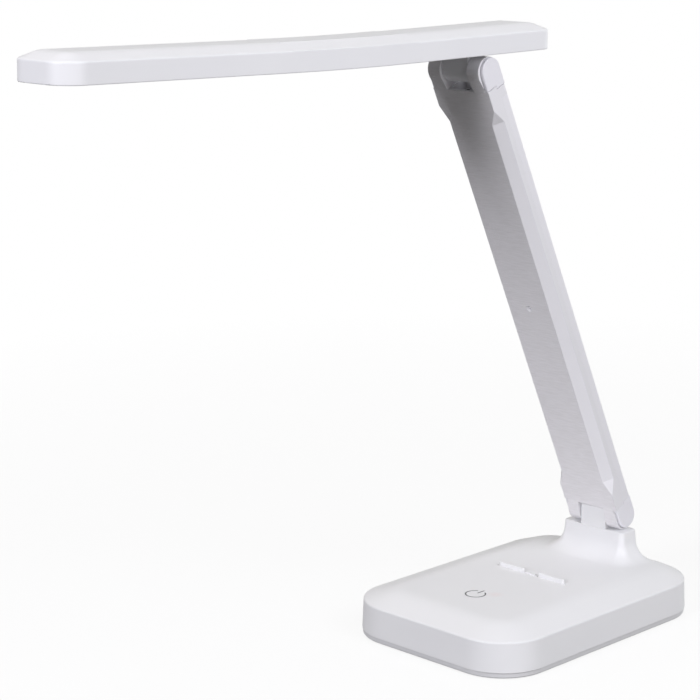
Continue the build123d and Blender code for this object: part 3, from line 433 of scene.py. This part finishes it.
embossed = put(tree, "ShaderNodeBump", {
    "Height": pads.outputs["Result"], "Distance": 0.2 * MM, "Strength": 1.0,
})
rubber = put(tree, "ShaderNodeBsdfPrincipled", {
    "Base Color": grey.outputs[2], "Roughness": 0.72, "IOR": 1.41,
    "Normal": embossed.outputs["Normal"],
})
tree.links.new(rubber.outputs[0], output.inputs["Surface"])
print("pads every", pitch_mm, "mm")


# %% Materials: closed-cell foam and PVC sleeve
def bumpy_solid(name, colours, roughness, ior, texture, settings, depth_mm, output_name):
    """A one-colour solid whose texture node both shifts the colour and raises the surface:
    colour goes from the first to the second hex value as the texture goes from 0 to 1."""
    material, tree, output = new_material(name)
    place = put(tree, "ShaderNodeTexCoord")
    inputs = {"Vector": place.outputs["Object"], **settings[0]}
    pattern = put(tree, texture, inputs, **settings[1])
    colour = put(tree, "ShaderNodeMix", {
        0: pattern.outputs[output_name], 6: linear(colours[0]), 7: linear(colours[1]),
    }, data_type="RGBA")
    relief = put(tree, "ShaderNodeBump", {
        "Height": pattern.outputs[output_name], "Distance": depth_mm * MM, "Strength": 1.0,
    })
    solid = put(tree, "ShaderNodeBsdfPrincipled", {
        "Base Color": colour.outputs[2], "Roughness": roughness, "IOR": ior,
        "Normal": relief.outputs["Normal"],
    })
    tree.links.new(solid.outputs[0], output.inputs["Surface"])
    return material, tree, solid


finishes["foam_tape"] = bumpy_solid(
    "closed_cell_polyethylene_foam", ("#141414", "#2a2a2a"), 0.9, 1.5, "ShaderNodeTexVoronoi",
    ({"Scale": 1 / (0.6 * MM)}, {"feature": "F1"}), 0.15, "Distance")[0]
finishes["wire_sleeve"] = bumpy_solid(
    "extruded_pvc_sleeve", ("#e2e2e0", "#d4d4d2"), 0.55, 1.53, "ShaderNodeTexNoise",
    ({"Scale": 1 / (0.8 * MM), "Detail": 2.0, "Distortion": 0.6}, {}), 0.03, "Fac")[0]
finishes["black_components"] = bumpy_solid(
    "moulded_epoxy_packages", ("#1c1c1d", "#2b2b2d"), 0.6, 1.55, "ShaderNodeTexNoise",
    ({"Scale": 1 / (0.25 * MM), "Detail": 3.0}, {}), 0.01, "Fac")[0]
finishes["battery_wrap"] = bumpy_solid(
    "shrunk_pvc_film", ("#3f68a8", "#345a96"), 0.28, 1.53, "ShaderNodeTexNoise",
    ({"Scale": 1 / (7 * MM), "Detail": 2.0, "Distortion": 1.2}, {}), 0.25, "Fac")[0]
finishes["reflector_film"] = bumpy_solid(
    "matt_white_polyester_film", ("#fbfbf9", "#f4f4f2"), 0.8, 1.6, "ShaderNodeTexNoise",
    ({"Scale": 1 / (0.4 * MM), "Detail": 2.0}, {}), 0.01, "Fac")[0]
finishes["led_board_white"] = bumpy_solid(
    "white_solder_mask_on_aluminium", ("#f6f6f4", "#efefed"), 0.45, 1.5, "ShaderNodeTexNoise",
    ({"Scale": 1 / (1.5 * MM), "Detail": 4.0}, {}), 0.02, "Fac")[0]
print(len(finishes), "finishes so far")

# %% [markdown]
# ## Phosphor
# Each light-emitting diode is a white cup filled with silicone gel that holds phosphor
# grains. Unlit, warm ones look orange-yellow and cool ones lemon-yellow. The gel scatters
# light a little and has a glossy skin, and the grains make it slightly mottled.

# %% Materials: warm and cool phosphor gel
for slot, name, tint, shade in (
    ("warm_phosphor", "warm_phosphor_gel", "#f0b84a", "#e6a838"),
    ("cool_phosphor", "cool_phosphor_gel", "#f1e070", "#e6d35c"),
):
    finishes[slot], tree, gel = bumpy_solid(
        name, (tint, shade), 0.25, 1.41, "ShaderNodeTexNoise",
        ({"Scale": 1 / (0.15 * MM), "Detail": 3.0}, {}), 0.01, "Fac")
    gel.inputs["Subsurface Weight"].default_value = 0.4
    gel.inputs["Subsurface Radius"].default_value = (1.0, 0.7, 0.3)
    gel.inputs["Subsurface Scale"].default_value = 0.4 * MM
print("phosphor gels ready")

# %% [markdown]
# ## Circuit boards
# The boards are glass epoxy with green solder mask. Copper tracks under the mask stand up by
# a few hundredths of a millimetre and look lighter. A brick pattern with long thin bricks
# gives runs of parallel tracks at a 1.3 mm pitch that break and shift as real ones do.

# %% Material: green solder mask
finishes["circuit_board"], tree, output = new_material("green_solder_mask_on_glass_epoxy")
place = put(tree, "ShaderNodeTexCoord")
tracks = put(tree, "ShaderNodeTexBrick", {
    "Vector": place.outputs["Object"], "Scale": 1.0, "Mortar Size": 0.35 * MM,
    "Mortar Smooth": 0.2, "Brick Width": 17 * MM, "Row Height": 1.3 * MM,
    "Color1": linear("#1e6b3c"), "Color2": linear("#1a5f36"), "Mortar": linear("#0f4726"),
})
raised = put(tree, "ShaderNodeBump", {
    "Height": tracks.outputs["Fac"], "Distance": 0.04 * MM, "Strength": 1.0,
}, invert=True)
mask = put(tree, "ShaderNodeBsdfPrincipled", {
    "Base Color": tracks.outputs["Color"], "Roughness": 0.3, "IOR": 1.55,
    "Normal": raised.outputs["Normal"],
})
tree.links.new(mask.outputs[0], output.inputs["Surface"])
print("tracks 1.3 mm apart")

# %% [markdown]
# ## Metals
# Metal shows how it was worked. Rolled sheet has fine streaks in the rolling direction,
# turned parts have rings round their axis, and barrel-plated screws have neither, because
# tumbling evens them out, but a cloudy zinc bloom. Streaks are noise stretched along one
# axis. Rings are a wave of the distance from the part's own axis, so the turned parts at the
# two hinges need their own centres, which the frame's joints give.

# %% Recipe for worked metal
def worked_metal(name, tint, shade, roughness, height, tree_parts, depth_mm):
    """A metal whose colour and roughness follow a height socket, with fine relief."""
    material, tree, output = tree_parts
    material.name = name
    colour = put(tree, "ShaderNodeMix", {
        0: height, 6: linear(tint), 7: linear(shade),
    }, data_type="RGBA")
    rough = put(tree, "ShaderNodeMapRange", {
        "Value": height, "To Min": roughness - 0.06, "To Max": roughness + 0.08,
    })
    relief = put(tree, "ShaderNodeBump", {
        "Height": height, "Distance": depth_mm * MM, "Strength": 1.0,
    })
    metal = put(tree, "ShaderNodeBsdfPrincipled", {
        "Base Color": colour.outputs[2], "Metallic": 1.0,
        "Roughness": rough.outputs["Result"], "Normal": relief.outputs["Normal"],
    })
    tree.links.new(metal.outputs[0], output.inputs["Surface"])
    return material


def rolled(name, tint, shade, roughness, streak_mm, stretch, depth_mm):
    """Rolled sheet: noise cells streak_mm wide, stretched along Y."""
    parts = new_material(name)
    tree = parts[1]
    place = put(tree, "ShaderNodeTexCoord")
    drawn = put(tree, "ShaderNodeMapping", {
        "Vector": place.outputs["Object"], "Scale": (1.0, 1.0 / stretch, 1.0),
    })
    streaks = put(tree, "ShaderNodeTexNoise", {
        "Vector": drawn.outputs["Vector"], "Scale": 1 / (streak_mm * MM), "Detail": 4.0,
    })
    return worked_metal(name, tint, shade, roughness, streaks.outputs["Fac"], parts, depth_mm)


def turned(name, tint, shade, roughness, centre, ring_mm, depth_mm):
    """Turned part: rings ring_mm apart round the X axis through centre."""
    parts = new_material(name)
    tree = parts[1]
    place = put(tree, "ShaderNodeTexCoord")
    moved = put(tree, "ShaderNodeMapping", {
        "Vector": place.outputs["Object"], "Location": [-c for c in centre],
    })
    rings = put(tree, "ShaderNodeTexWave", {
        "Vector": moved.outputs["Vector"], "Scale": 1 / (20 * ring_mm * MM),
        "Distortion": 0.4, "Detail": 2.0,
    }, wave_type="RINGS", rings_direction="X")
    return worked_metal(name, tint, shade, roughness, rings.outputs["Fac"], parts, depth_mm)


# %% Materials: steel, zinc and copper
finishes["ballast_steel"] = rolled(
    "cold_rolled_zinc_plated_steel", "#b9bcbf", "#a3a6aa", 0.38, 0.5, 30, 0.01)
finishes["socket_shell"] = rolled(
    "drawn_stainless_steel", "#c9c9c8", "#b5b5b5", 0.25, 0.2, 12, 0.004)
finishes["copper_foil"] = rolled(
    "rolled_copper_foil", "#d99a76", "#c07f5c", 0.3, 0.3, 15, 0.004)
finishes["zinc_screws"] = rolled(
    "barrel_plated_zinc_on_steel", "#c2c5c8", "#a9adb2", 0.32, 0.6, 1, 0.006)
hinge_finishes = {}
for joint, node_start in (("arm_fold", "lower_"), ("head_fold", "upper_")):
    hinge_finishes[node_start] = turned(
        "nickel_plated_turned_steel_" + node_start + "hinge",
        "#c8c4bb", "#aaa69e", 0.3, joint_at[joint], 0.25, 0.006)
finishes["hinge_steel"] = hinge_finishes["lower_"]
finishes["spring_steel"] = rolled(
    "bright_spring_steel", "#bdbdbd", "#9d9d9e", 0.3, 0.25, 8, 0.004)
missing = [m["slot"] for m in record["materials"] if m["slot"] not in finishes]
print(len(finishes), "finishes, missing:", missing)

# %% [markdown]
# ## Dressing the solids
# The record says which finish each solid takes. The solids of the two hinges look their own
# turned finish up by the first word of their name.

# %% Dress the CAD nodes
for part in record["subparts"]:
    slot = part["material_slot"]
    finish = finishes[slot]
    if slot == "hinge_steel":
        finish = hinge_finishes[part["node"][:6]]
    mesh = nodes[part["node"]].data
    mesh.materials.clear()
    mesh.materials.append(finish)
print("dressed", len(record["subparts"]), "nodes")

# %% [markdown]
# ## Grids of points
# The small pieces that follow are surfaces on a grid: one parameter runs along the rows, the
# other along the columns, and a formula gives every point at once. Two helpers do the
# bookkeeping. The first joins a grid's neighbouring points into four-sided faces. The second
# turns points and faces into an object that rides on one of the lamp's bodies.

# %% Helpers for grid surfaces
def grid_faces(rows, columns, closed_rows=False, closed_columns=False):
    """Quads between neighbouring points of a rows by columns grid; a closed direction also
    joins its last line to its first. Point (i, j) has the number i * columns + j."""
    i = np.arange(rows if closed_rows else rows - 1)
    j = np.arange(columns if closed_columns else columns - 1)
    i, j = np.meshgrid(i, j, indexing="ij")
    i_next, j_next = (i + 1) % rows, (j + 1) % columns
    quads = np.stack([
        i * columns + j, i * columns + j_next, i_next * columns + j_next, i_next * columns + j,
    ], axis=-1)
    return quads.reshape(-1, 4)


def make_piece(name, points, faces, material, body, smooth=True):
    """A mesh object at the origin, with one material, on one body."""
    mesh = bpy.data.meshes.new(name)
    corners = np.asarray(points).reshape(-1, 3).tolist()
    mesh.from_pydata(corners, [], [list(map(int, face)) for face in faces])
    mesh.materials.append(material)
    mesh.polygons.foreach_set("use_smooth", [smooth] * len(mesh.polygons))
    mesh.update()
    piece = bpy.data.objects.new(name, mesh)
    bpy.context.scene.collection.objects.link(piece)
    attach(piece, body)
    print(name, len(mesh.vertices), "points")
    return piece


# %% [markdown]
# ## The touch symbol
# The symbol on the base is pad printed: a rubber pad lays down a film of ink a few hundredths
# of a millimetre thick. It could be painted into the base's material, but as a thin piece of
# its own it keeps crisp edges at any distance. It is the common standby symbol, an open ring
# with a bar through the gap. Both are flat bands: a path gives the middle line, a normal in
# the plane gives the width, and a small height gives the ink its thickness.

# %% Touch symbol
def flat_band(line, width, low, high):
    """A closed flat band along a line of (x, y) points: each section is a rectangle, width
    wide across the line and from low to high; both ends are closed."""
    line = np.asarray(line, dtype=float)
    along = np.gradient(line, axis=0)
    along /= np.linalg.norm(along, axis=1, keepdims=True)
    across = np.stack([along[:, 1], -along[:, 0]], axis=1) * width / 2
    left, right = line - across, line + across
    corners = [(left, low), (right, low), (right, high), (left, high)]
    points = np.stack([
        np.concatenate([flat, np.full((len(line), 1), z)], axis=1) for flat, z in corners
    ], axis=1)
    faces = grid_faces(len(line), 4, closed_columns=True).tolist()
    last = (len(line) - 1) * 4
    faces += [[3, 2, 1, 0], [last, last + 1, last + 2, last + 3]]
    return points.reshape(-1, 3), faces


ink, tree, ink_solid = bumpy_solid(
    "pad_printed_grey_ink", ("#4a4a4d", "#545457"), 0.5, 1.5, "ShaderNodeTexNoise",
    ({"Scale": 1 / (0.4 * MM), "Detail": 3.0}, {}), 0.004, "Fac")
panel_top = 22.5 * MM
ink_low, ink_high = panel_top - 0.02 * MM, panel_top + 0.03 * MM
symbol_centre = np.array([-0.4, -36.6]) * MM
ring_radius, stroke, gap_half = 4.75 * MM, 0.62 * MM, radians(27)
turns = np.linspace(pi / 2 + gap_half, pi / 2 + 2 * pi - gap_half, 73)
ring = symbol_centre + ring_radius * np.stack([np.cos(turns), np.sin(turns)], axis=1)
ring_points, ring_faces = flat_band(ring, stroke, ink_low, ink_high)
bar_low, bar_high = 1.5, 6.4
bar = symbol_centre + np.stack([np.zeros(9), np.linspace(bar_low, bar_high, 9) * MM], axis=1)
bar_points, bar_faces = flat_band(bar, stroke, ink_low, ink_high)
bar_faces = [[corner + len(ring_points) for corner in face] for face in bar_faces]
make_piece(
    "touch_symbol", np.concatenate([ring_points, bar_points]), ring_faces + bar_faces,
    ink, "base", smooth=False)

# %% [markdown]
# ## Screws under the head
# Four small pan-head screws hold the hinge plate, and their heads show in its recesses when
# the lamp is seen from below. The solids stand in for them as plain cylinders. Each real
# head is a low dome with a cross recess, pressed in by a punch. The head is a polar grid: the
# radius runs along the rows and the angle along the columns, and the height is the dome minus
# the recess, which is deep where either coordinate is near zero.

# %% Head screws
slot_half, slot_edge = 0.30 * MM, 0.10 * MM       # half width of a recess arm, and its soft edge
slot_reach, slot_end = 1.30 * MM, 0.15 * MM       # how far an arm reaches, and its soft end
slot_depth = 0.42 * MM
dome_fall = 0.25 * MM                             # how much the dome falls to its rim
tip_taper = 0.6 * MM
turn_steps = 64


def pan_head_screw(foot, up, head_radius, head_height, shank_radius, length):
    """A screw that points along up, its head's outer face at foot. Rows run from the middle
    of the head outwards, over the rim and down the shank to its tip; the dome falls with the
    square of the radius, and the cross is a soft step in the smaller of |x| and |y|."""
    turns = np.linspace(0, 2 * pi, turn_steps, endpoint=False)
    radii = np.linspace(0.02, 1.0, 22) * head_radius
    r, t = np.meshgrid(radii, turns, indexing="ij")
    x, y = r * np.cos(t), r * np.sin(t)
    arm = np.clip((slot_half - np.minimum(abs(x), abs(y))) / slot_edge, 0, 1)
    reach = np.clip((slot_reach - r) / slot_end, 0, 1)
    dome = dome_fall * (r / head_radius) ** 2
    z = dome + arm * reach * slot_depth * (1 - 0.4 * r / slot_reach)
    shank = shank_radius / head_radius
    rim = [(1.0, head_height), (shank, head_height), (shank, length - tip_taper)]
    rim.append((0.1 * shank, length))
    rows_x, rows_y, rows_z = [x], [y], [z]
    for share, height in rim:
        rows_x.append((share * head_radius * np.cos(turns))[None])
        rows_y.append((share * head_radius * np.sin(turns))[None])
        rows_z.append(np.full((1, len(turns)), height))
    x, y, z = (np.concatenate(rows) for rows in (rows_x, rows_y, rows_z))
    up = np.asarray(up) / np.linalg.norm(up)
    side = np.array([1.0, 0.0, 0.0])
    depth = np.cross(up, side)
    points = foot + x[..., None] * side + y[..., None] * depth + z[..., None] * up
    rows = points.shape[0]
    faces = grid_faces(rows, turn_steps, closed_columns=True)[:, ::-1].tolist()
    last = (rows - 1) * turn_steps
    faces += [list(range(turn_steps)), list(range(last, last + turn_steps))[::-1]]
    return points.reshape(-1, 3), faces


screw_mesh = nodes["head_screws"].data
corners = np.empty(len(screw_mesh.vertices) * 3)
screw_mesh.vertices.foreach_get("co", corners)
corners = corners.reshape(-1, 3)
rear_rise = radians(0.60)
plate_up = np.array([0.0, -sin(rear_rise), cos(rear_rise)])
split_y = (corners[:, 1].min() + corners[:, 1].max()) / 2
all_points, all_faces, count = [], [], 0
for side in (-1, 1):
    for rear in (False, True):
        own = corners[(corners[:, 0] * side > 0) & ((corners[:, 1] > split_y) == rear)]
        heights = own @ plate_up
        foot = own[heights < heights.min() + 0.05 * MM].mean(axis=0)
        length = heights.max() - heights.min()
        points, faces = pan_head_screw(foot, plate_up, 2.15 * MM, 0.8 * MM, 1.0 * MM, length)
        all_points.append(points)
        all_faces += [[corner + count for corner in face] for face in faces]
        count += len(points)
screws = make_piece(
    "cross_recess_screws", np.concatenate(all_points), all_faces,
    finishes["zinc_screws"], "head")
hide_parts("head_screws")

# %% [markdown]
# ## The touch spring
# A small coil spring carries the touch signal from the board to the copper disc under the
# shell. The solid is a thin sleeve of its outer size; the real part is a wire on a helix. The
# helix is the path, and the wire's round section stands square to it at every step: two unit
# vectors, one outwards and one crossing it, span the circle.

# %% Touch spring
def coil(centre, outer_radius, low, high, wire, turns_count):
    """A closed round wire on a helix between low and high. At angle t the path is a circle
    of the mean radius plus a steady rise; the section circle is spanned by the outward
    direction and by the path's direction crossed with it."""
    steps = 28 * turns_count
    t = np.linspace(0, 2 * pi * turns_count, steps)
    mean = outer_radius - wire / 2
    rise = np.linspace(low + wire / 2, high - wire / 2, steps)
    path = np.stack([centre[0] + mean * np.cos(t), centre[1] + mean * np.sin(t), rise], axis=1)
    outward = np.stack([np.cos(t), np.sin(t), 0 * t], axis=1)
    along = np.gradient(path, axis=0)
    along /= np.linalg.norm(along, axis=1, keepdims=True)
    across = np.cross(along, outward)
    section = np.linspace(0, 2 * pi, 10, endpoint=False)
    ring = outward[:, None] * np.cos(section)[:, None] + across[:, None] * np.sin(section)[:, None]
    points = path[:, None] + ring * wire / 2
    faces = grid_faces(steps, 10, closed_columns=True)[:, ::-1].tolist()
    last = (steps - 1) * 10
    faces += [list(range(10)), list(range(last + 9, last - 1, -1))]
    return points, faces


sleeve = np.array(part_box("touch_spring"))
spring_wire = 0.45 * MM
spring_turns = 4
spring_points, spring_faces = coil(
    sleeve.mean(axis=0), (sleeve[1, 0] - sleeve[0, 0]) / 2, sleeve[0, 2], sleeve[1, 2],
    spring_wire, spring_turns)
spring = make_piece(
    "coiled_touch_spring", spring_points, spring_faces,
    finishes["spring_steel"], "base")
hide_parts("touch_spring")

# %% [markdown]
# ## Contacts in the charging socket
# Looking into the socket at the back of the base, one sees a black tongue with a row of gold
# contacts on each side. The solid has the tongue; the contacts are added as thin strips that
# sit on it, each a small flat box.

# %% Socket contacts
def boxes(centres, size):
    """Closed boxes of one size about the given centres, as one set of points and faces."""
    signs = np.array([[x, y, z] for x in (-1, 1) for y in (-1, 1) for z in (-1, 1)])
    points = np.asarray(centres)[:, None] + signs[None] * np.asarray(size) / 2
    quads = np.array([
        [0, 1, 3, 2], [4, 6, 7, 5], [0, 4, 5, 1], [2, 3, 7, 6], [0, 2, 6, 4], [1, 5, 7, 3],
    ])
    faces = (quads[None] + 8 * np.arange(len(centres))[:, None, None]).reshape(-1, 4)
    return points, faces


gold = rolled("gold_plated_contacts", "#e6c069", "#d6ac52", 0.25, 0.2, 4, 0.002)
contact_x = np.linspace(-2.75, 2.75, 12) * MM
contact_y = 70.9 * MM
tongue_z, tongue_half = 9.0 * MM, 0.37 * MM
contact_size = (0.25 * MM, 4.4 * MM, 0.06 * MM)
contact_rows = [
    [x, contact_y, tongue_z + level * tongue_half] for level in (-1, 1) for x in contact_x
]
contact_points, contact_faces = boxes(contact_rows, contact_size)
make_piece(
    "socket_contacts", contact_points, contact_faces, gold, "base", smooth=False)
